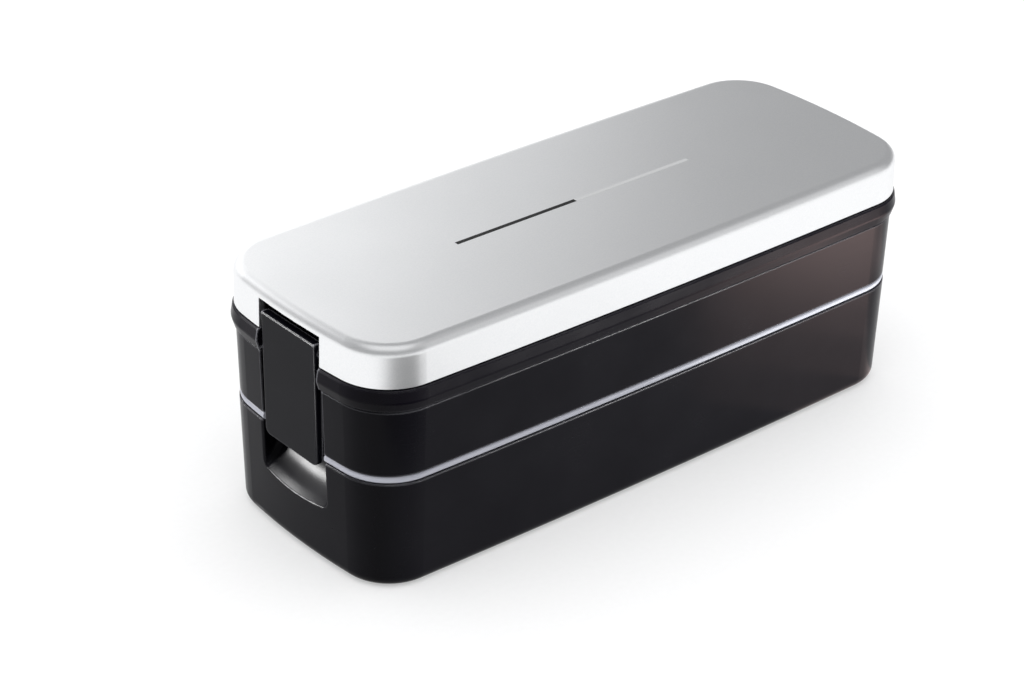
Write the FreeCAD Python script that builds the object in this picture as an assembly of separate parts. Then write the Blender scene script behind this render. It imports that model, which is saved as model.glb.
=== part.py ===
import FreeCAD, Part
import math
import os
from FreeCAD import Vector

# Two-tier bento lunch box, millimetres. +X runs along the length, +Y across
# the width, +Z up. The origin is the centre of the flat underside.

# ---------------------------------------------------------------- plan shape
# Every level of the box is the same bowed rectangle, grown or shrunk by an
# offset. Offset 0 is the lower edge of the silver lid shell.
HALF_LENGTH = 115.0
HALF_WIDTH = 43.8
END_BOW_RADIUS = 264.0
SIDE_BOW_RADIUS = 4470.0
CORNER_RADIUS = 19.2

# ------------------------------------------------------------ heights, walls
LOWER_RIM_Z = 38.1
UPPER_BASE_Z = 40.7
UPPER_RIM_Z = 63.4
BAND_BOTTOM_Z = 64.0
UPPER_LID_TOP_Z = 65.2
LEDGE_Z = 71.2
SHELL_BOTTOM_Z = 71.8
TOP_Z = 85.6

WALL = 1.8
FLOOR = 2.0
FLOOR_FILLET = 5.0

LOWER_BASE_OFFSET = -1.87
LOWER_RIM_OFFSET = -0.77
UPPER_BASE_OFFSET = -1.02
UPPER_RIM_OFFSET = -0.4
BASE_EDGE_FILLET = 3.8
EDGE_ROUND = 0.35

# ----------------------------------------------------------------- lid shell
SHELL_WALL = 2.0
SHELL_ROOF = 2.2
SHELL_TOP_OFFSET = -0.25
SHELL_TOP_FILLET = 3.4
SHELL_INNER_FILLET = 2.0
NOTCH_HALF_WIDTH = 15.4
NOTCH_TOP_Z = 81.8
SIDE_GAP = 0.1

# ----------------------------------------------------------------- lid frame
BAND_BOTTOM_OFFSET = 0.15
BAND_BULGE_OFFSET = 1.1
BAND_BULGE_Z = 67.2
BAND_BULGE_ROUND = 1.6
BAND_CREASE_OFFSET = 0.55
BAND_CREASE_Z = 70.6
BAND_TOP_OFFSET = 0.1
BAND_INNER_OFFSET = -0.95
SHADOW_GROOVE_OFFSET = -0.7
WEB_TOP_Z = 66.9
WEB_INNER_OFFSET = -6.0
SKIRT_INNER_OFFSET = -3.6
SKIRT_TOP_Z = 75.5
POCKET_BACK_X = 106.8
POCKET_WALL = 1.2

# ------------------------------------------------------- latch and its hinge
LATCH_HALF_WIDTH = 13.4
LATCH_TOP_Z = 78.3
LATCH_BOTTOM_Z = 35.2
LATCH_TOP_X = 115.0
LATCH_BOTTOM_X = 114.5
LATCH_BACK_X = 112.0
LATCH_EDGE_FILLET = 0.6
LATCH_CORNER_FILLET = 2.4
HINGE_Z = 74.7
HINGE_PIN_RADIUS = 1.25
HINGE_CLEARANCE = 0.05
CLIP_RADIUS = 2.6
CLIP_MOUTH = 2.2
CLIP_WIDTH = 5.0
CLIP_SPACING = 9.0
HOOK_TIP_X = 108.6
HOOK_TOP_Z = 36.6

# ----------------------------------------- latch channels and finger scoops
CHANNEL_HALF_WIDTH = 15.8
CHANNEL_BACK_X = 108.2
CHANNEL_CORNER = 3.0
LEDGE_FRONT_X = 109.5
LEDGE_BOTTOM_Z = 36.9
SCOOP_HALF_WIDTH = 16.2
SCOOP_FACE_X = 113.7
SCOOP_DEPTH = 8.6
SCOOP_LIP_Z = 19.6
SCOOP_SPRING_Z = 35.0
SCOOP_SMILE_RADIUS = 87.0
SCOOP_CORNER_FILLET = 2.2
SCOOP_LIP_FILLET = 0.8

# ------------------------------------------------- inner lids, seals, dividers
PLUG_OUTER_OFFSET = -4.0
PLUG_WALL = 1.4
PLUG_DEPTH = 3.5
LAND_INNER_OFFSET = -4.4
PANEL_THICKNESS = 1.1
LOWER_PANEL_TOP_Z = 40.1
UPPER_PANEL_TOP_Z = 65.0
UPPER_LID_OFFSET = -1.35
LAND_EDGE_ROUND = 1.1
SEAL_GAP = 0.3
SEAL_HEIGHT = 1.8
SEAL_DROP = 0.7
BLOCK_GAP = 0.5
FOOT_RING_OUTER = -4.9
FOOT_RING_INNER = -6.6
FOOT_RING_DROP = 0.45
DIVIDER_THICKNESS = 1.2
DIVIDER_GAP = 0.75
LOWER_DIVIDER_X = 20.0
UPPER_DIVIDER_X = -25.0
DIVIDER_HEAD_ROOM = 4.5

# Far enough outside the box for cutting tools to pass right through it.
BEYOND = 20.0


def circle_crossing(first, first_radius, second, second_radius):
    """Upper right crossing point of two circles in the plan."""
    span = second - first
    distance = span.Length
    along = (first_radius ** 2 - second_radius ** 2 + distance ** 2) / (2 * distance)
    across = math.sqrt(first_radius ** 2 - along ** 2)
    unit = span / distance
    normal = Vector(-unit.y, unit.x, 0)
    return first + unit * along + normal * across


END_CENTRE = Vector(HALF_LENGTH - END_BOW_RADIUS, 0, 0)
SIDE_CENTRE = Vector(0, HALF_WIDTH - SIDE_BOW_RADIUS, 0)
CORNER_CENTRE = circle_crossing(
    END_CENTRE, END_BOW_RADIUS - CORNER_RADIUS,
    SIDE_CENTRE, SIDE_BOW_RADIUS - CORNER_RADIUS)


def outline(offset, z):
    """Closed wire of eight tangent arcs at one height."""
    to_end = (CORNER_CENTRE - END_CENTRE).normalize()
    to_side = (CORNER_CENTRE - SIDE_CENTRE).normalize()
    end_joint = END_CENTRE + to_end * (END_BOW_RADIUS + offset)
    side_joint = SIDE_CENTRE + to_side * (SIDE_BOW_RADIUS + offset)
    diagonal = (to_end + to_side).normalize()
    corner_middle = CORNER_CENTRE + diagonal * (CORNER_RADIUS + offset)

    def place(point, x_sign, y_sign):
        return Vector(point.x * x_sign, point.y * y_sign, z)

    def arc(start, middle, end):
        return Part.Arc(start, middle, end).toShape()

    end_middle = Vector(HALF_LENGTH + offset, 0, 0)
    side_middle = Vector(0, HALF_WIDTH + offset, 0)
    edges = [
        arc(place(end_joint, 1, -1), place(end_middle, 1, 1), place(end_joint, 1, 1)),
        arc(place(end_joint, 1, 1), place(corner_middle, 1, 1), place(side_joint, 1, 1)),
        arc(place(side_joint, 1, 1), place(side_middle, 1, 1), place(side_joint, -1, 1)),
        arc(place(side_joint, -1, 1), place(corner_middle, -1, 1), place(end_joint, -1, 1)),
        arc(place(end_joint, -1, 1), place(end_middle, -1, 1), place(end_joint, -1, -1)),
        arc(place(end_joint, -1, -1), place(corner_middle, -1, -1), place(side_joint, -1, -1)),
        arc(place(side_joint, -1, -1), place(side_middle, 1, -1), place(side_joint, 1, -1)),
        arc(place(side_joint, 1, -1), place(corner_middle, 1, -1), place(end_joint, 1, -1)),
    ]
    return Part.Wire(edges)


def stack(levels):
    """Solid through (offset, height) levels; equal heights make a flat step."""
    solid = None
    for (low_offset, low_z), (high_offset, high_z) in zip(levels, levels[1:]):
        if high_z == low_z:
            continue
        layer = Part.makeLoft([outline(low_offset, low_z), outline(high_offset, high_z)], True, True)
        solid = layer if solid is None else solid.fuse(layer)
    return solid


def slab(offset, low_z, high_z):
    return stack([(offset, low_z), (offset, high_z)])


def edges_at(shape, z, tolerance=0.01):
    """Edges of a shape that lie wholly at one height."""
    return [edge for edge in shape.Edges
            if abs(edge.BoundBox.ZMin - z) < tolerance and abs(edge.BoundBox.ZMax - z) < tolerance]


def rounded_edges_at(shape, z, radius=EDGE_ROUND):
    return shape.makeFillet(radius, edges_at(shape, z))


def box(x_low, x_high, y_low, y_high, z_low, z_high):
    return Part.makeBox(x_high - x_low, y_high - y_low, z_high - z_low, Vector(x_low, y_low, z_low))


def mirrored(shape):
    """The same piece at the other end of the box."""
    return shape.mirror(Vector(0, 0, 0), Vector(1, 0, 0))


def both_ends(shape):
    return [shape, mirrored(shape)]


def end_block(reach, half_width, low_z, high_z, corner=0.0):
    """Block at the -X end, from |x| = reach outwards, inner corners rounded."""
    block = box(-HALF_LENGTH - BEYOND, -reach, -half_width, half_width, low_z, high_z)
    if corner > 0:
        inner_edges = [edge for edge in block.Edges
                       if edge.BoundBox.ZLength > 0.5 * (high_z - low_z)
                       and abs(edge.BoundBox.XMin + reach) < 0.01]
        block = block.makeFillet(corner, inner_edges)
    return block


def lower_wall_offset(z):
    """Outer face of the lower tier, which leans out towards its rim."""
    share = z / LOWER_RIM_Z
    return LOWER_BASE_OFFSET + share * (LOWER_RIM_OFFSET - LOWER_BASE_OFFSET)


def upper_wall_offset(z):
    share = (z - UPPER_BASE_Z) / (UPPER_RIM_Z - UPPER_BASE_Z)
    return UPPER_BASE_OFFSET + share * (UPPER_RIM_OFFSET - UPPER_BASE_OFFSET)


def compartment(wall_offset, floor_z, rim_z, gap=0.0):
    """Hollow of a tier with a rounded floor edge, shrunk by a gap."""
    hollow = stack([(wall_offset(floor_z) - WALL - gap, floor_z),
                    (wall_offset(rim_z) - WALL - gap, rim_z)])
    return rounded_edges_at(hollow, floor_z, FLOOR_FILLET)


def scoop(grow=0.0):
    """Finger scoop at the -X end: a concave floor rising to an upright back.

    The floor arc is swung about a high axis along X, so the lip dips in a
    shallow smile. A positive grow gives the wall behind the hollow.
    """
    rise = SCOOP_SPRING_Z - SCOOP_LIP_Z
    radius = (SCOOP_DEPTH ** 2 + rise ** 2) / (2 * SCOOP_DEPTH)
    centre = Vector(-SCOOP_FACE_X + SCOOP_DEPTH - radius, 0, SCOOP_SPRING_Z)
    reach = radius + grow
    outer_x = -HALF_LENGTH - BEYOND
    lip_angle = math.asin(rise / radius)
    lip = centre + Vector(math.cos(lip_angle), 0, -math.sin(lip_angle)) * reach
    belly = centre + Vector(math.cos(lip_angle / 2), 0, -math.sin(lip_angle / 2)) * reach
    back = centre + Vector(reach, 0, 0)
    top_z = LOWER_RIM_Z + 3 * WALL
    profile = Part.Wire([
        Part.makeLine(Vector(outer_x, 0, lip.z), lip),
        Part.Arc(lip, belly, back).toShape(),
        Part.makeLine(back, Vector(back.x, 0, top_z)),
        Part.makeLine(Vector(back.x, 0, top_z), Vector(outer_x, 0, top_z)),
        Part.makeLine(Vector(outer_x, 0, top_z), Vector(outer_x, 0, lip.z)),
    ])
    axis = Vector(0, 0, SCOOP_LIP_Z + SCOOP_SMILE_RADIUS)
    half_angle = 1.3 * math.degrees(math.asin((SCOOP_HALF_WIDTH + grow) / SCOOP_SMILE_RADIUS))
    face = Part.Face(profile)
    face.rotate(axis, Vector(1, 0, 0), -half_angle)
    swung = face.revolve(axis, Vector(1, 0, 0), 2 * half_angle)
    half_width = SCOOP_HALF_WIDTH + grow
    top = LOWER_RIM_Z + (0 if grow else 1)
    limits = box(outer_x, -SCOOP_FACE_X + SCOOP_DEPTH + BEYOND, -half_width, half_width, 0, top)
    hollow = swung.common(limits)
    side_edges = [edge for edge in hollow.Edges
                  if edge.BoundBox.YLength < 0.01 and edge.BoundBox.ZLength > 1
                  and edge.BoundBox.XMax > outer_x + 1]
    return hollow.makeFillet(SCOOP_CORNER_FILLET, side_edges)


def mouth_edges(shape, half_width, low_z, high_z):
    """Edges round the mouth of a notch or hollow in the -X and +X end faces."""
    face_x = HALF_LENGTH - 3
    return [edge for edge in shape.Edges
            if max(edge.BoundBox.XMin, -edge.BoundBox.XMax) > face_x
            and max(abs(edge.BoundBox.YMin), abs(edge.BoundBox.YMax)) < half_width + 0.5
            and edge.BoundBox.ZMin > low_z and edge.BoundBox.ZMax < high_z]


def make_lower_tier():
    outer = stack([(LOWER_BASE_OFFSET, 0), (LOWER_RIM_OFFSET, LOWER_RIM_Z)])
    outer = rounded_edges_at(outer, 0, BASE_EDGE_FILLET)
    ledge = box(-LEDGE_FRONT_X, 0, -SCOOP_HALF_WIDTH, SCOOP_HALF_WIDTH,
                LEDGE_BOTTOM_Z, LOWER_RIM_Z + 1)
    tier = outer.cut(both_ends(scoop().cut(ledge)))
    hollow = compartment(lower_wall_offset, FLOOR, LOWER_RIM_Z)
    tier = tier.cut(hollow.cut(both_ends(scoop(WALL))))
    lips = mouth_edges(tier, SCOOP_HALF_WIDTH, 0, LOWER_RIM_Z + 0.1)
    tier = tier.makeFillet(SCOOP_LIP_FILLET, lips)
    return rounded_edges_at(tier, LOWER_RIM_Z)


def make_upper_tier():
    outer = stack([(UPPER_BASE_OFFSET, UPPER_BASE_Z), (UPPER_RIM_OFFSET, UPPER_RIM_Z)])
    hollow = compartment(upper_wall_offset, UPPER_BASE_Z + FLOOR, UPPER_RIM_Z)
    backing = end_block(CHANNEL_BACK_X - WALL, CHANNEL_HALF_WIDTH + WALL,
                        UPPER_BASE_Z, UPPER_RIM_Z, CHANNEL_CORNER)
    channel = end_block(CHANNEL_BACK_X, CHANNEL_HALF_WIDTH,
                        UPPER_BASE_Z, UPPER_RIM_Z, CHANNEL_CORNER - WALL)
    tier = outer.cut(hollow.cut(both_ends(backing))).cut(both_ends(channel))
    corners = mouth_edges(tier, CHANNEL_HALF_WIDTH, UPPER_BASE_Z - 0.1, UPPER_RIM_Z + 0.1)
    rims = edges_at(tier, UPPER_BASE_Z) + edges_at(tier, UPPER_RIM_Z)
    tier = tier.makeFillet(EDGE_ROUND, corners + rims)
    foot_low = UPPER_BASE_Z - FOOT_RING_DROP
    foot = slab(FOOT_RING_OUTER, foot_low, UPPER_BASE_Z).cut(
        slab(FOOT_RING_INNER, foot_low, UPPER_BASE_Z))
    foot_gap = end_block(CHANNEL_BACK_X - 2 * WALL - BLOCK_GAP, CHANNEL_HALF_WIDTH + 2 * WALL,
                         foot_low, UPPER_BASE_Z)
    return tier.fuse(foot.cut(both_ends(foot_gap)))


def make_inner_lid(land_low, land_high, land, panel_top_z, channel_reach, channel_half_width,
                   block_reach, block_half_width):
    """Flat lid with a rim land, a thin panel and a plug skirt that goes
    inside the tier. The plug keeps clear of the block at each end."""
    lid = land.cut(slab(LAND_INNER_OFFSET, land_low, land_high))
    panel = slab(LAND_INNER_OFFSET, panel_top_z - PANEL_THICKNESS, panel_top_z)
    plug_low = land_low - PLUG_DEPTH
    plug_high = panel_top_z - PANEL_THICKNESS
    block = end_block(block_reach, block_half_width, plug_low, plug_high)
    inner_block = end_block(block_reach - PLUG_WALL, block_half_width + PLUG_WALL,
                            plug_low, plug_high)
    plug = slab(PLUG_OUTER_OFFSET, plug_low, plug_high).cut(both_ends(block))
    plug_hollow = slab(PLUG_OUTER_OFFSET - PLUG_WALL, plug_low, plug_high)
    plug = plug.cut(plug_hollow.cut(both_ends(inner_block)))
    inner_edge = box(-block_reach, block_reach, -HALF_WIDTH, HALF_WIDTH, land_low, plug_high)
    shelf = slab(LAND_INNER_OFFSET, land_low, plug_high).cut(inner_edge)
    shelf = shelf.cut(both_ends(end_block(block_reach, block_half_width, land_low, plug_high)))
    channel = end_block(channel_reach, channel_half_width, land_low, land_high, CHANNEL_CORNER - WALL)
    lid = lid.fuse([panel, plug, shelf])
    return lid.cut(both_ends(channel)).removeSplitter()


def make_seal(rim_z, wall_offset, block_reach, block_half_width):
    """Ring gasket round the plug skirt, following the block at each end."""
    high = rim_z - SEAL_DROP
    low = high - SEAL_HEIGHT
    outer_offset = wall_offset(low) - WALL - SEAL_GAP
    ring_block = end_block(block_reach + BLOCK_GAP - SEAL_GAP, block_half_width - BLOCK_GAP + SEAL_GAP,
                           low, high)
    plug_block = end_block(block_reach, block_half_width, low, high)
    ring = slab(outer_offset, low, high).cut(both_ends(ring_block))
    return ring.cut(slab(PLUG_OUTER_OFFSET, low, high).cut(both_ends(plug_block)))


LOWER_BLOCK_REACH = SCOOP_FACE_X - SCOOP_DEPTH - WALL - BLOCK_GAP
LOWER_BLOCK_HALF_WIDTH = SCOOP_HALF_WIDTH + WALL + BLOCK_GAP
UPPER_BLOCK_REACH = CHANNEL_BACK_X - WALL - BLOCK_GAP
UPPER_BLOCK_HALF_WIDTH = CHANNEL_HALF_WIDTH + WALL + BLOCK_GAP


def make_lower_inner_lid():
    land = slab(UPPER_BASE_OFFSET, LOWER_RIM_Z, UPPER_BASE_Z)
    land = rounded_edges_at(land, LOWER_RIM_Z, LAND_EDGE_ROUND)
    land = rounded_edges_at(land, UPPER_BASE_Z, LAND_EDGE_ROUND)
    return make_inner_lid(LOWER_RIM_Z, UPPER_BASE_Z, land, LOWER_PANEL_TOP_Z, CHANNEL_BACK_X,
                          CHANNEL_HALF_WIDTH, LOWER_BLOCK_REACH, LOWER_BLOCK_HALF_WIDTH)


def make_upper_inner_lid():
    land = slab(UPPER_LID_OFFSET, UPPER_RIM_Z, UPPER_LID_TOP_Z)
    land = rounded_edges_at(land, UPPER_LID_TOP_Z)
    return make_inner_lid(UPPER_RIM_Z, UPPER_LID_TOP_Z, land, UPPER_PANEL_TOP_Z,
                          CHANNEL_BACK_X - BLOCK_GAP, CHANNEL_HALF_WIDTH + BLOCK_GAP,
                          UPPER_BLOCK_REACH, UPPER_BLOCK_HALF_WIDTH)


def make_divider(wall_offset, floor_z, rim_z, centre_x):
    """Thin cross wall with the section of the tier, a little smaller."""
    body = compartment(wall_offset, floor_z, rim_z, DIVIDER_GAP)
    plate = box(centre_x - DIVIDER_THICKNESS / 2, centre_x + DIVIDER_THICKNESS / 2,
                -HALF_WIDTH, HALF_WIDTH, floor_z, rim_z - DIVIDER_HEAD_ROOM)
    return rounded_edges_at(body.common(plate), rim_z - DIVIDER_HEAD_ROOM)


def shell_hollow(gap, low_z):
    """Space inside the lid shell, shrunk by a gap and run down to low_z."""
    roof_z = TOP_Z - SHELL_ROOF - gap
    hollow = stack([(-SHELL_WALL - gap, low_z), (-SHELL_WALL - gap, SHELL_BOTTOM_Z),
                    (SHELL_TOP_OFFSET - SHELL_WALL - gap, roof_z)])
    return rounded_edges_at(hollow, roof_z, SHELL_INNER_FILLET)


def make_lid_shell():
    outer = stack([(0, SHELL_BOTTOM_Z), (SHELL_TOP_OFFSET, TOP_Z)])
    outer = rounded_edges_at(outer, TOP_Z, SHELL_TOP_FILLET)
    notch = end_block(POCKET_BACK_X, NOTCH_HALF_WIDTH, SHELL_BOTTOM_Z, NOTCH_TOP_Z)
    shell = outer.cut(shell_hollow(0, SHELL_BOTTOM_Z)).cut(both_ends(notch))
    mouth = mouth_edges(shell, NOTCH_HALF_WIDTH, SHELL_BOTTOM_Z - 0.1, NOTCH_TOP_Z + 0.1)
    outside = [edge for edge in mouth if edge.BoundBox.XMax < 0.2 - HALF_LENGTH + SHELL_WALL / 2
               or edge.BoundBox.XMin > HALF_LENGTH - SHELL_WALL / 2 - 0.2]
    return shell.makeFillet(EDGE_ROUND, outside)


def cross_rod(radius, half_length, centre_y=0.0):
    """Cylinder on the -X hinge axis, centred at one place across the width."""
    start = Vector(-LATCH_BACK_X, centre_y - half_length, HINGE_Z)
    return Part.makeCylinder(radius, 2 * half_length, start, Vector(0, 1, 0))


def make_latch_pocket():
    """Walls of the recess behind the -X latch, with the hinge pin across it."""
    hollow = shell_hollow(SIDE_GAP, UPPER_LID_TOP_Z)
    walls = end_block(POCKET_BACK_X - POCKET_WALL, NOTCH_HALF_WIDTH + POCKET_WALL,
                      UPPER_LID_TOP_Z, TOP_Z)
    recess = end_block(POCKET_BACK_X, NOTCH_HALF_WIDTH, UPPER_LID_TOP_Z, NOTCH_TOP_Z)
    walls = walls.common(hollow).cut(recess)
    pin = cross_rod(HINGE_PIN_RADIUS, NOTCH_HALF_WIDTH)
    rooted_pin = cross_rod(HINGE_PIN_RADIUS, NOTCH_HALF_WIDTH + POCKET_WALL / 2).common(hollow)
    return walls.fuse([pin, rooted_pin])


def make_lid_frame():
    outer = stack([(BAND_BOTTOM_OFFSET, BAND_BOTTOM_Z),
                   (BAND_BULGE_OFFSET, BAND_BULGE_Z),
                   (BAND_CREASE_OFFSET, BAND_CREASE_Z),
                   (BAND_TOP_OFFSET, LEDGE_Z),
                   (SHADOW_GROOVE_OFFSET, LEDGE_Z),
                   (SHADOW_GROOVE_OFFSET, SHELL_BOTTOM_Z),
                   (-SHELL_WALL - SIDE_GAP, SHELL_BOTTOM_Z),
                   (-SHELL_WALL - SIDE_GAP, SKIRT_TOP_Z)])
    inner = stack([(BAND_INNER_OFFSET, BAND_BOTTOM_Z),
                   (BAND_INNER_OFFSET, UPPER_LID_TOP_Z),
                   (WEB_INNER_OFFSET, UPPER_LID_TOP_Z),
                   (WEB_INNER_OFFSET, WEB_TOP_Z),
                   (SKIRT_INNER_OFFSET, WEB_TOP_Z),
                   (SKIRT_INNER_OFFSET, SKIRT_TOP_Z)])
    outer = rounded_edges_at(outer, BAND_BULGE_Z, BAND_BULGE_ROUND)
    outer = rounded_edges_at(outer, BAND_BOTTOM_Z, EDGE_ROUND)
    ring = outer.cut(inner)
    opening = end_block(POCKET_BACK_X, NOTCH_HALF_WIDTH, BAND_BOTTOM_Z, SKIRT_TOP_Z)
    pocket = make_latch_pocket()
    return ring.cut(both_ends(opening)).fuse(both_ends(pocket)).removeSplitter()


def make_latch():
    """Latch at the -X end: a tapered plate with three clips that snap on the
    hinge pin and a hook that tucks under the rim of the lower tier."""
    side = Part.makePolygon([
        Vector(-LATCH_TOP_X, -LATCH_HALF_WIDTH, LATCH_TOP_Z),
        Vector(-LATCH_BACK_X, -LATCH_HALF_WIDTH, LATCH_TOP_Z),
        Vector(-LATCH_BACK_X, -LATCH_HALF_WIDTH, LATCH_BOTTOM_Z),
        Vector(-LATCH_BOTTOM_X, -LATCH_HALF_WIDTH, LATCH_BOTTOM_Z),
        Vector(-LATCH_TOP_X, -LATCH_HALF_WIDTH, LATCH_TOP_Z)])
    plate = Part.Face(side).extrude(Vector(0, 2 * LATCH_HALF_WIDTH, 0))
    lower_corners = [edge for edge in plate.Edges
                     if edge.BoundBox.ZMax < LATCH_BOTTOM_Z + 0.01 and edge.BoundBox.YLength < 0.01]
    plate = plate.makeFillet(LATCH_CORNER_FILLET, lower_corners)
    front_edges = [edge for edge in plate.Edges
                   if edge.BoundBox.XMax < -LATCH_BOTTOM_X + 0.01]
    plate = plate.makeFillet(LATCH_EDGE_FILLET, front_edges)
    clips = [cross_rod(CLIP_RADIUS, CLIP_WIDTH / 2, step * CLIP_SPACING) for step in (-1, 0, 1)]
    mouth = box(-LATCH_BACK_X, -LATCH_BACK_X + 2 * CLIP_RADIUS, -LATCH_HALF_WIDTH, LATCH_HALF_WIDTH,
                HINGE_Z - CLIP_MOUTH / 2, HINGE_Z + CLIP_MOUTH / 2)
    hook_half_width = LATCH_HALF_WIDTH - LATCH_CORNER_FILLET
    hook = box(-LATCH_BACK_X, -HOOK_TIP_X, -hook_half_width, hook_half_width,
               LATCH_BOTTOM_Z, HOOK_TOP_Z)
    bore = cross_rod(HINGE_PIN_RADIUS + HINGE_CLEARANCE, LATCH_HALF_WIDTH)
    return plate.fuse(clips + [hook]).cut([mouth, bore]).removeSplitter()


def main():
    left_latch = make_latch()
    parts = {
        "lower_tier": make_lower_tier(),
        "lower_divider": make_divider(lower_wall_offset, FLOOR, LOWER_RIM_Z, LOWER_DIVIDER_X),
        "lower_inner_lid": make_lower_inner_lid(),
        "lower_seal": make_seal(LOWER_RIM_Z, lower_wall_offset,
                                LOWER_BLOCK_REACH, LOWER_BLOCK_HALF_WIDTH),
        "upper_tier": make_upper_tier(),
        "upper_divider": make_divider(upper_wall_offset, UPPER_BASE_Z + FLOOR,
                                      UPPER_RIM_Z, UPPER_DIVIDER_X),
        "upper_inner_lid": make_upper_inner_lid(),
        "upper_seal": make_seal(UPPER_RIM_Z, upper_wall_offset,
                                UPPER_BLOCK_REACH, UPPER_BLOCK_HALF_WIDTH),
        "lid_frame": make_lid_frame(),
        "lid_shell": make_lid_shell(),
        "latch_left": left_latch,
        "latch_right": mirrored(left_latch),
    }
    os.makedirs("parts", exist_ok=True)
    for name, shape in parts.items():
        shape.exportStep(f"parts/{name}.step")
        bounds = shape.BoundBox
        print(f"{name}: solids {len(shape.Solids)}, valid {shape.isValid()}, "
              f"volume {shape.Volume / 1000:.2f} cm3, "
              f"{bounds.XLength:.1f} x {bounds.YLength:.1f} x {bounds.ZLength:.1f}")


main()
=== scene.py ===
import math

import bmesh
import bpy
from mathutils import Matrix, Vector


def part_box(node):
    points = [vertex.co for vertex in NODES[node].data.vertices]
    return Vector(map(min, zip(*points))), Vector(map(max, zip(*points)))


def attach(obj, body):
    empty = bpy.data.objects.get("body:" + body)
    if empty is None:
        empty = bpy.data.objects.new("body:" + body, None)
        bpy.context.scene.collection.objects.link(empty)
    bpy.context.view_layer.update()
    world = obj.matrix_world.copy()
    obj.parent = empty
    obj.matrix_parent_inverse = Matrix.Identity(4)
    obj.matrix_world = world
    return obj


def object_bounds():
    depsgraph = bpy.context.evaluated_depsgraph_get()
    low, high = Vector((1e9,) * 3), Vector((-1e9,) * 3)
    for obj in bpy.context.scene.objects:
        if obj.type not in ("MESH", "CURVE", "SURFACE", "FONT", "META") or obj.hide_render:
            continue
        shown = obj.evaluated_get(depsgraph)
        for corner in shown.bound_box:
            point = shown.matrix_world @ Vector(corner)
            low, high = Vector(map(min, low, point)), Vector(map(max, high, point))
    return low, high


# Looks for the two-tier bento lunch box. Metres, same frame as the packed
# CAD: +X along the length, +Y across the width, +Z up, underside at z = 0.

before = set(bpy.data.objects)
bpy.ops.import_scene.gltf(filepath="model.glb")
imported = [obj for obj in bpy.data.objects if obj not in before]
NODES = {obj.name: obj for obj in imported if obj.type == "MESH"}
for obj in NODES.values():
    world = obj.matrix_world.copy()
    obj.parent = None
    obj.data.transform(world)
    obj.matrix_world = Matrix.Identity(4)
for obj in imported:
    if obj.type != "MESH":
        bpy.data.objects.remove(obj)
CAD_LOW, CAD_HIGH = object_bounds()
MM = 0.001


# ------------------------------------------------------------ node helpers

def new_material(name):
    """Node material with one Principled shader, cleared of anything else."""
    material = bpy.data.materials.new(name)
    material.use_nodes = True
    tree = material.node_tree
    tree.nodes.clear()
    output = tree.nodes.new("ShaderNodeOutputMaterial")
    shader = tree.nodes.new("ShaderNodeBsdfPrincipled")
    tree.links.new(shader.outputs["BSDF"], output.inputs["Surface"])
    return material, tree, shader


def object_place(tree, stretch=(1.0, 1.0, 1.0)):
    """Object coordinates, stretched along each axis."""
    coordinates = tree.nodes.new("ShaderNodeTexCoord")
    mapping = tree.nodes.new("ShaderNodeMapping")
    mapping.inputs["Scale"].default_value = stretch
    tree.links.new(coordinates.outputs["Object"], mapping.inputs["Vector"])
    return mapping.outputs["Vector"]


def noise(tree, place, feature, detail=2.0, roughness=0.5):
    """Noise whose blobs are about `feature` metres across."""
    node = tree.nodes.new("ShaderNodeTexNoise")
    node.inputs["Scale"].default_value = 1.0 / feature
    node.inputs["Detail"].default_value = detail
    node.inputs["Roughness"].default_value = roughness
    tree.links.new(place, node.inputs["Vector"])
    return node.outputs["Fac"]


def spread(tree, value, low, high, from_low=0.3, from_high=0.7):
    """Takes a noise value to the range low..high."""
    node = tree.nodes.new("ShaderNodeMapRange")
    node.inputs["From Min"].default_value = from_low
    node.inputs["From Max"].default_value = from_high
    node.inputs["To Min"].default_value = low
    node.inputs["To Max"].default_value = high
    tree.links.new(value, node.inputs["Value"])
    return node.outputs["Result"]


def mix_colour(tree, share, first, second):
    """Blend of two colours, each a fixed one or a node's output."""
    node = tree.nodes.new("ShaderNodeMix")
    node.data_type = "RGBA"
    tree.links.new(share, node.inputs["Factor"])
    for name, colour in (("A", first), ("B", second)):
        if isinstance(colour, tuple):
            node.inputs[name].default_value = (*colour, 1.0)
        else:
            tree.links.new(colour, node.inputs[name])
    return node.outputs["Result"]


def bump(tree, height, distance, strength):
    """Normal of a surface raised by `height`, a noise value."""
    node = tree.nodes.new("ShaderNodeBump")
    node.inputs["Distance"].default_value = distance
    node.inputs["Strength"].default_value = strength
    tree.links.new(height, node.inputs["Height"])
    return node.outputs["Normal"]


def combine(tree, operation, first, second):
    """One arithmetic node on two values."""
    node = tree.nodes.new("ShaderNodeMath")
    node.operation = operation
    tree.links.new(first, node.inputs[0])
    tree.links.new(second, node.inputs[1])
    return node.outputs["Value"]


def add(tree, first, second):
    return combine(tree, "ADD", first, second)


def multiply(tree, first, second):
    return combine(tree, "MULTIPLY", first, second)


def edge_wear_and_highlight(tree):
    """0 on flat faces and up to 1 along outside edges: the mask for rubbed wear and for the
    painted edge highlight.
    """
    inside = tree.nodes.new("ShaderNodeAmbientOcclusion")
    inside.inside = True
    inside.only_local = True
    inside.samples = 8
    inside.inputs["Distance"].default_value = WEAR_AND_HIGHLIGHT_REACH
    return spread(tree, inside.outputs["AO"], 1.0, 0.0, from_low=0.45, from_high=0.82)


# --------------------------------------------------------------- materials

# Rubbed edges, lightened in colour both as wear and as a painted highlight: how far
# the mask reaches, its colour, and how much it takes off the roughness.
WEAR_AND_HIGHLIGHT_REACH = 1.0 * MM
RUBBED_EDGE_AND_HIGHLIGHT = (0.080, 0.080, 0.088)
RUBBED_POLISH = -0.12

# Noise scale along each axis. It draws the scuffs out along X.
SCUFF_STRETCH = (0.12, 1.0, 1.6)


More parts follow.
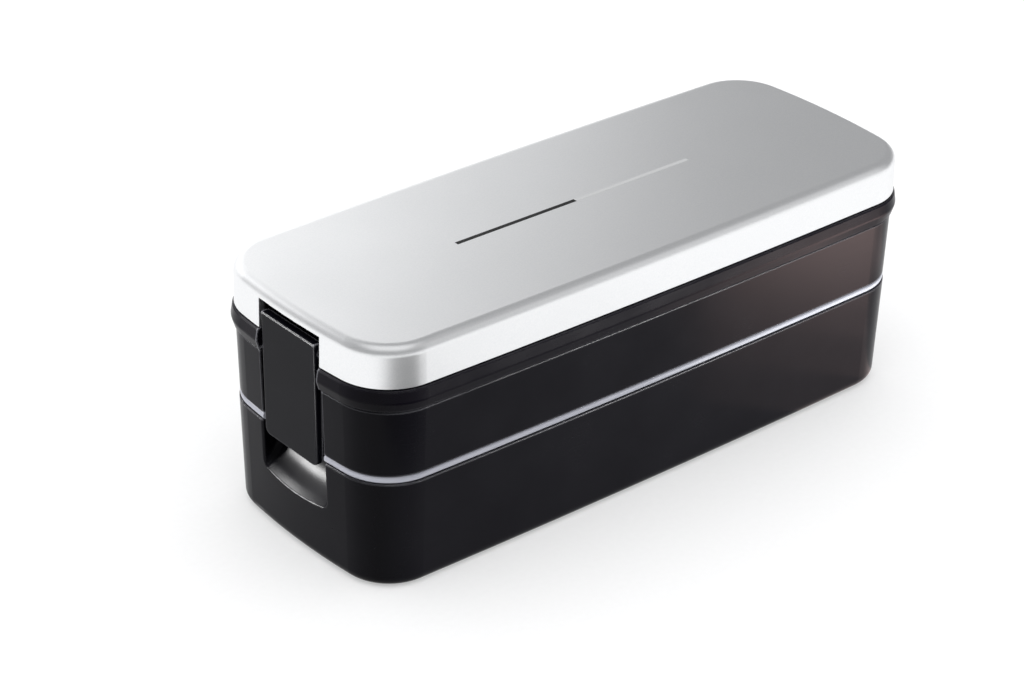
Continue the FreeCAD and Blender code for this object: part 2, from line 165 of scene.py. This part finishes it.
def silver_paint(name, dark, light, gloss):
    """Satin silver paint: fine grain, faint handling marks in the gloss."""
    material, tree, shader = new_material(name)
    place = object_place(tree)
    grain = noise(tree, place, 0.5 * MM, detail=2.0, roughness=0.6)
    cloud = noise(tree, place, 28 * MM)
    colour = mix_colour(tree, spread(tree, grain, 0.0, 1.0), dark, light)
    tree.links.new(colour, shader.inputs["Base Color"])
    shader.inputs["Metallic"].default_value = 1.0
    uneven = add(tree, spread(tree, grain, -0.02, 0.02), spread(tree, cloud, *gloss))
    tree.links.new(uneven, shader.inputs["Roughness"])
    normal = bump(tree, grain, distance=0.02 * MM, strength=0.05)
    tree.links.new(normal, shader.inputs["Normal"])
    return material


def moulded_black(name, dark, light, gloss, specular, peel, peel_size):
    """Black moulded plastic: fine skin, uneven gloss, edges lighter as rubbed wear and as a
    painted highlight.

    `peel` is the strength of the skin and `peel_size` how coarse it is.
    """
    material, tree, shader = new_material(name)
    place = object_place(tree)
    skin = noise(tree, place, peel_size, detail=2.0)
    cloud = noise(tree, place, 22 * MM, detail=3.0)
    along = object_place(tree, SCUFF_STRETCH)
    scuffs = noise(tree, along, 1.4 * MM, detail=4.0, roughness=0.6)
    body = mix_colour(tree, spread(tree, cloud, 0.0, 1.0), dark, light)
    # Outside edges are mixed towards a lighter colour. This is partly rubbed wear and partly a
    # painted highlight in the base colour.
    worn_and_highlight = multiply(tree, edge_wear_and_highlight(tree), spread(tree, cloud, 0.6, 1.0))
    tree.links.new(mix_colour(tree, worn_and_highlight, body, RUBBED_EDGE_AND_HIGHLIGHT), shader.inputs["Base Color"])
    uneven = add(tree, spread(tree, cloud, *gloss), spread(tree, scuffs, -0.01, 0.015))
    polish = spread(tree, worn_and_highlight, 0.0, RUBBED_POLISH, from_low=0.0, from_high=1.0)
    tree.links.new(add(tree, uneven, polish), shader.inputs["Roughness"])
    shader.inputs["Specular IOR Level"].default_value = specular
    normal = bump(tree, skin, distance=0.03 * MM, strength=peel)
    tree.links.new(normal, shader.inputs["Normal"])
    return material


def moulded_grey(name, dark, light, gloss, specular, scatter):
    """Light plastic or silicone that lets a little light into it."""
    material, tree, shader = new_material(name)
    place = object_place(tree)
    skin = noise(tree, place, 0.5 * MM)
    cloud = noise(tree, place, 18 * MM, detail=3.0)
    colour = mix_colour(tree, spread(tree, cloud, 0.0, 1.0), dark, light)
    tree.links.new(colour, shader.inputs["Base Color"])
    uneven = add(tree, spread(tree, cloud, *gloss), spread(tree, skin, -0.02, 0.02))
    tree.links.new(uneven, shader.inputs["Roughness"])
    shader.inputs["Specular IOR Level"].default_value = specular
    shader.inputs["Subsurface Weight"].default_value = scatter
    shader.inputs["Subsurface Radius"].default_value = (1.0, 1.0, 1.0)
    shader.inputs["Subsurface Scale"].default_value = 0.6 * MM
    normal = bump(tree, skin, distance=0.02 * MM, strength=0.1)
    tree.links.new(normal, shader.inputs["Normal"])
    return material


def printed_ink(name, dark, light):
    """Screen-printed ink: matte, very slightly uneven."""
    material, tree, shader = new_material(name)
    place = object_place(tree)
    fleck = noise(tree, place, 0.35 * MM, detail=3.0)
    colour = mix_colour(tree, spread(tree, fleck, 0.0, 1.0), dark, light)
    tree.links.new(colour, shader.inputs["Base Color"])
    tree.links.new(spread(tree, fleck, 0.42, 0.55), shader.inputs["Roughness"])
    shader.inputs["Specular IOR Level"].default_value = 0.3
    normal = bump(tree, fleck, distance=0.01 * MM, strength=0.2)
    tree.links.new(normal, shader.inputs["Normal"])
    return material


# Finishes: darkest and lightest colour, then the range of roughness (gloss).
tier_black = moulded_black(
    "tier_black", (0.0014, 0.0013, 0.0020), (0.0020, 0.0019, 0.0027),
    gloss=(0.22, 0.27), specular=0.055, peel=0.03, peel_size=0.9 * MM)
band_black = moulded_black(
    "band_black", (0.0009, 0.0007, 0.0016), (0.0015, 0.0012, 0.0022),
    gloss=(0.23, 0.29), specular=0.055, peel=0.07, peel_size=0.35 * MM)
latch_black = moulded_black(
    "latch_black", (0.0006, 0.0006, 0.0011), (0.0010, 0.0010, 0.0016),
    gloss=(0.20, 0.25), specular=0.06, peel=0.03, peel_size=0.7 * MM)
lid_grey = moulded_grey(
    "inner_lid_grey", (0.44, 0.45, 0.51), (0.48, 0.49, 0.55),
    gloss=(0.22, 0.27), specular=0.5, scatter=0.1)
silicone = moulded_grey(
    "seal_silicone", (0.62, 0.64, 0.66), (0.68, 0.70, 0.72),
    gloss=(0.42, 0.50), specular=0.4, scatter=0.3)
divider_grey = moulded_grey(
    "divider_grey", (0.36, 0.38, 0.42), (0.40, 0.42, 0.46),
    gloss=(0.30, 0.36), specular=0.5, scatter=0.15)
satin_silver = silver_paint(
    "satin_silver", (0.82, 0.83, 0.84), (0.875, 0.88, 0.885), gloss=(0.35, 0.38))

FINISH = {
    "lid_shell": satin_silver,
    "lid_frame": band_black,
    "lower_tier": tier_black,
    "upper_tier": tier_black,
    "latch_left": latch_black,
    "latch_right": latch_black,
    "lower_inner_lid": lid_grey,
    "upper_inner_lid": lid_grey,
    "lower_seal": silicone,
    "upper_seal": silicone,
    "lower_divider": divider_grey,
    "upper_divider": divider_grey,
}


def dress_cad_nodes():
    """Gives every CAD node its finish in place of the plain packed one."""
    for name, material in FINISH.items():
        slots = NODES[name].data.materials
        slots.clear()
        slots.append(material)


def mesh_object(name, mesh):
    """Scene object made from a bmesh, which is freed."""
    data = bpy.data.meshes.new(name)
    mesh.to_mesh(data)
    mesh.free()
    piece = bpy.data.objects.new(name, data)
    bpy.context.scene.collection.objects.link(piece)
    return piece


# ------------------------------------------------------- printed lid stripe

STRIPE_HALF_LENGTH = 48.8 * MM
STRIPE_WIDTH = 1.6 * MM
STRIPE_CENTRE_X = -0.6 * MM
STRIPE_CENTRE_Y = 0.6 * MM
STRIPE_FILM = 0.02 * MM


def stripe(name, x_low, x_high, material):
    """One half of the thin two-tone line printed along the top of the lid."""
    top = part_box("lid_shell")[1].z
    mesh = bmesh.new()
    corners = bmesh.ops.create_cube(mesh, size=1.0)["verts"]
    bmesh.ops.scale(mesh, verts=corners, vec=(x_high - x_low, STRIPE_WIDTH, 2 * STRIPE_FILM))
    middle = (STRIPE_CENTRE_X + (x_low + x_high) / 2, STRIPE_CENTRE_Y, top)
    bmesh.ops.translate(mesh, verts=corners, vec=middle)
    upper = [edge for edge in mesh.edges if all(vert.co.z > top for vert in edge.verts)]
    bmesh.ops.bevel(mesh, geom=upper, offset=STRIPE_FILM / 2, segments=2, affect="EDGES")
    piece = mesh_object(name, mesh)
    piece.data.materials.append(material)
    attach(piece, "outer_lid")


def make_stripe():
    stripe("lid_stripe_dark", -STRIPE_HALF_LENGTH, 0.0,
           printed_ink("ink_dark", (0.003, 0.003, 0.003), (0.006, 0.006, 0.006)))
    stripe("lid_stripe_pale", 0.0, STRIPE_HALF_LENGTH,
           printed_ink("ink_pale", (0.80, 0.81, 0.81), (0.86, 0.87, 0.87)))


# ------------------------------------------------------------ floor, lights

FLOOR_RADIUS = 20.0
FLOOR_DROP = 0.05 * MM
PAPER_DARK = (0.86, 0.86, 0.86)
PAPER_LIGHT = (0.89, 0.89, 0.89)

# Watts per square metre of lamp at brightness 1.
LAMP_POWER = 4.0


def make_floor():
    """Wide pale floor, far larger than any view shows."""
    mesh = bmesh.new()
    bmesh.ops.create_circle(mesh, cap_ends=True, radius=FLOOR_RADIUS, segments=96)
    floor = mesh_object("floor", mesh)
    floor.location.z = CAD_LOW.z - FLOOR_DROP
    material, tree, shader = new_material("floor_paper")
    paper = noise(tree, object_place(tree), 2 * MM)
    colour = mix_colour(tree, paper, PAPER_DARK, PAPER_LIGHT)
    tree.links.new(colour, shader.inputs["Base Color"])
    shader.inputs["Roughness"].default_value = 0.9
    shader.inputs["Specular IOR Level"].default_value = 0.1
    floor.data.materials.append(material)
    return floor


def soft_box(name, centre, aim, width, height, brightness, colour=(1.0, 1.0, 1.0)):
    """Rectangular lamp that the camera itself doesn't see."""
    lamp = bpy.data.lights.new(name, "AREA")
    lamp.shape = "RECTANGLE"
    lamp.size = width
    lamp.size_y = height
    lamp.energy = LAMP_POWER * width * height * brightness
    lamp.color = colour
    box = bpy.data.objects.new(name, lamp)
    bpy.context.scene.collection.objects.link(box)
    box.location = centre
    box.rotation_mode = "QUATERNION"
    box.rotation_quaternion = (Vector(aim) - Vector(centre)).to_track_quat("-Z", "Y")
    box.visible_camera = False
    return box


def link_receivers(lamp, objects, state):
    """Lists objects that a lamp lights (INCLUDE) or leaves out (EXCLUDE)."""
    group = bpy.data.collections.new(lamp.name + "_receivers")
    for item in objects:
        group.objects.link(item)
    for member in group.collection_objects:
        member.light_linking.link_state = state
    lamp.light_linking.receiver_collection = group


def light_only(lamp, objects):
    link_receivers(lamp, objects, "INCLUDE")


def keep_off(lamp, objects):
    link_receivers(lamp, objects, "EXCLUDE")


def cad_nodes(names):
    return [NODES[name] for name in names]


# CAD nodes that lamps are linked to.
SILVER = ["lid_shell"]
BLACK = ["lower_tier", "upper_tier", "lid_frame", "latch_left", "latch_right"]
LATCHES = ["latch_left", "latch_right"]
LONG_SIDE = ["lower_tier", "upper_tier", "lid_frame"]
GREY = ["lower_inner_lid", "upper_inner_lid", "lower_divider", "upper_divider"]

WORLD_COLOUR = (0.98, 0.985, 1.0, 1.0)
WORLD_STRENGTH = 0.40
ORIGIN = (0.0, 0.0, 0.0)
BOX_MIDDLE = (0.0, 0.0, 0.05)

# Soft boxes: centre, point aimed at, width, height, brightness, and the CAD
# nodes that they light. None means everything except the floor. The ones whose
# centre is 1 mm up lie on the floor and face the ceiling.
SOFT_BOXES = {
    "behind_left": ((-0.07, 0.62, 0.37), (-0.07, 0.0, 0.20), 0.86, 0.56, 0.74, None),
    "behind_right": ((0.46, 0.62, 0.34), (0.46, 0.0, 0.20), 0.20, 0.50, 0.38, None),
    "left_soft": ((-0.62, 0.66, 0.42), BOX_MIDDLE, 0.80, 0.60, 0.10, SILVER),
    "right_soft": ((0.52, -0.58, 0.38), BOX_MIDDLE, 0.50, 0.74, 0.28, SILVER),
    "right_floor": ((0.20, -0.17, 0.001), (0.20, -0.17, 1.0), 0.24, 0.24, 0.05, SILVER),
    "left_edges": ((-0.42, 0.64, 0.70), BOX_MIDDLE, 0.25, 0.20, 90.0, BLACK),
    "left_low": ((-0.80, 0.68, 0.13), BOX_MIDDLE, 0.20, 0.20, 120.0, BLACK),
    "left_glow": ((-0.62, 0.64, 0.36), BOX_MIDDLE, 0.30, 0.25, 4.5, BLACK),
    "right_edges": ((0.50, -0.74, 0.15), BOX_MIDDLE, 0.20, 0.30, 110.0, BLACK),
    "corner_edges": ((-0.36, -0.42, 1.0), BOX_MIDDLE, 0.20, 0.20, 70.0, BLACK),
    "latch_edges": ((-0.20, -0.085, 0.001), (-0.20, -0.085, 1.0), 0.06, 0.06, 30.0, LATCHES),
    "left_beads": ((-0.68, 0.65, 0.40), BOX_MIDDLE, 0.45, 0.40, 3.4, GREY),
    "right_beads": ((0.18, -0.18, 0.001), (0.18, -0.18, 1.0), 0.26, 0.26, 2.1, GREY),
    "corner_beads": ((-0.36, -0.42, 1.0), BOX_MIDDLE, 0.25, 0.25, 3.0, GREY),
}

# Warm cards: lamps lying on the floor off the +X end of the front side, 1 mm
# apart in height so that they add up. WARM_EDGE_START and WARM_EDGE_TURN give
# a line on the floor. Seen from the camera, the long side mirrors what is on
# the near side of that line, and the rounded corner what is beyond it. Each row
# is where a card starts along the line, its near and far edge across it, and
# its brightness. All of them end at WARM_REACH. The first seven each start
# further out, so that the glow on the long side grows smoothly. The last two
# lie beyond the line and carry the glow round the corner.
WARM_COLOUR = (1.0, 0.72, 0.68)
WARM_EDGE_START = Vector((0.116, -0.046, 0.001))
WARM_EDGE_TURN = math.radians(-42)
WARM_REACH = 0.20
WARM_NEAR = -0.066
WARM_CARDS = [
    (-0.040, WARM_NEAR, 0.0, 0.4),
    (-0.015, WARM_NEAR, 0.0, 0.5),
    (0.010, WARM_NEAR, 0.0, 0.9),
    (0.030, WARM_NEAR, 0.0, 1.3),
    (0.047, WARM_NEAR, 0.0, 1.8),
    (0.062, WARM_NEAR, 0.0, 1.8),
    (0.077, WARM_NEAR, 0.0, 1.2),
    (0.060, 0.0, 0.014, 2.2),
    (0.040, 0.0, 0.045, 1.0),
]

# The overhead lamp lights the silver shell less than it does the rest.
OVERHEAD_CENTRE = (-0.25, -0.30, 1.2)
OVERHEAD_WIDTH = 1.3
OVERHEAD_HEIGHT = 1.1
OVERHEAD_BRIGHTNESS = 0.75
OVERHEAD_SILVER_BRIGHTNESS = 0.45

# A wide lamp without shadows keeps the floor evenly pale and lights nothing
# else.
WASH_CENTRE = (0.0, 0.0, 1.5)
WASH_SIDE = 40.0
WASH_BRIGHTNESS = 0.715

FRONT_CARD_CENTRE = (-0.121, -0.180, 0.002)
FRONT_CARD_WIDTH = 0.15
FRONT_CARD_DEPTH = 0.16


def make_world():
    world = bpy.data.worlds.new("studio")
    bpy.context.scene.world = world
    world.use_nodes = True
    background = world.node_tree.nodes["Background"]
    background.inputs["Color"].default_value = WORLD_COLOUR
    background.inputs["Strength"].default_value = WORLD_STRENGTH


def make_warm_cards():
    turn = Matrix.Rotation(WARM_EDGE_TURN, 3, "Z")
    facing_up = Matrix.Rotation(math.pi, 3, "X")
    for index, (start, near, far, brightness) in enumerate(WARM_CARDS):
        middle = Vector(((start + WARM_REACH) / 2, (near + far) / 2, index * MM))
        card = soft_box(f"warm_card_{index}", WARM_EDGE_START + turn @ middle, ORIGIN,
                        WARM_REACH - start, far - near, brightness, WARM_COLOUR)
        card.rotation_quaternion = (turn @ facing_up).to_quaternion()
        light_only(card, cad_nodes(LONG_SIDE))


def make_overhead(name, brightness):
    return soft_box(name, OVERHEAD_CENTRE, ORIGIN, OVERHEAD_WIDTH, OVERHEAD_HEIGHT, brightness)


def make_front_card():
    """Dark card on the floor in front, seen only in glossy reflections."""
    mesh = bmesh.new()
    corners = bmesh.ops.create_grid(mesh, x_segments=1, y_segments=1, size=0.5)["verts"]
    bmesh.ops.scale(mesh, verts=corners, vec=(FRONT_CARD_WIDTH, FRONT_CARD_DEPTH, 1.0))
    card = mesh_object("front_card", mesh)
    card.location = FRONT_CARD_CENTRE
    card.visible_camera = False
    card.visible_diffuse = False
    card.visible_shadow = False
    material, _, shader = new_material("front_card")
    shader.inputs["Base Color"].default_value = (0.10, 0.10, 0.10, 1.0)
    shader.inputs["Roughness"].default_value = 0.8
    card.data.materials.append(material)


def make_lights(floor):
    make_world()
    for name, (centre, aim, width, height, brightness, lit) in SOFT_BOXES.items():
        lamp = soft_box(name, centre, aim, width, height, brightness)
        if lit:
            light_only(lamp, cad_nodes(lit))
        else:
            keep_off(lamp, [floor])
    make_warm_cards()
    keep_off(make_overhead("overhead", OVERHEAD_BRIGHTNESS), [floor, *cad_nodes(SILVER)])
    light_only(make_overhead("overhead_silver", OVERHEAD_SILVER_BRIGHTNESS), cad_nodes(SILVER))
    wash = soft_box("floor_wash", WASH_CENTRE, ORIGIN, WASH_SIDE, WASH_SIDE, WASH_BRIGHTNESS)
    wash.data.use_shadow = False
    light_only(wash, [floor])
    make_front_card()


# ------------------------------------------------------------------- camera

CAMERA_AZIMUTH = math.radians(-40.18)
CAMERA_ELEVATION = math.radians(29.61)
CAMERA_ROLL = math.radians(1.10)
CAMERA_DISTANCE = 954.5 * MM
CAMERA_TARGET = Vector((-15.5, 13.0, 33.25)) * MM
CAMERA_LENS = 101.8
CAMERA_SENSOR = 36.0


def make_camera():
    """Camera at the photograph's viewing angle."""
    data = bpy.data.cameras.new("camera")
    data.lens = CAMERA_LENS
    data.sensor_width = CAMERA_SENSOR
    data.clip_start = 0.02
    data.clip_end = 30.0
    camera = bpy.data.objects.new("camera", data)
    bpy.context.scene.collection.objects.link(camera)
    level = math.cos(CAMERA_ELEVATION)
    back = Vector((math.sin(CAMERA_AZIMUTH) * level, -math.cos(CAMERA_AZIMUTH) * level,
                   math.sin(CAMERA_ELEVATION)))
    camera.location = CAMERA_TARGET + back * CAMERA_DISTANCE
    camera.rotation_mode = "QUATERNION"
    turn = (-back).to_track_quat("-Z", "Y")
    camera.rotation_quaternion = turn @ Matrix.Rotation(CAMERA_ROLL, 3, "Z").to_quaternion()
    bpy.context.scene.camera = camera


dress_cad_nodes()
make_stripe()
make_lights(make_floor())
make_camera()
bpy.context.scene.view_settings.view_transform = "Standard"
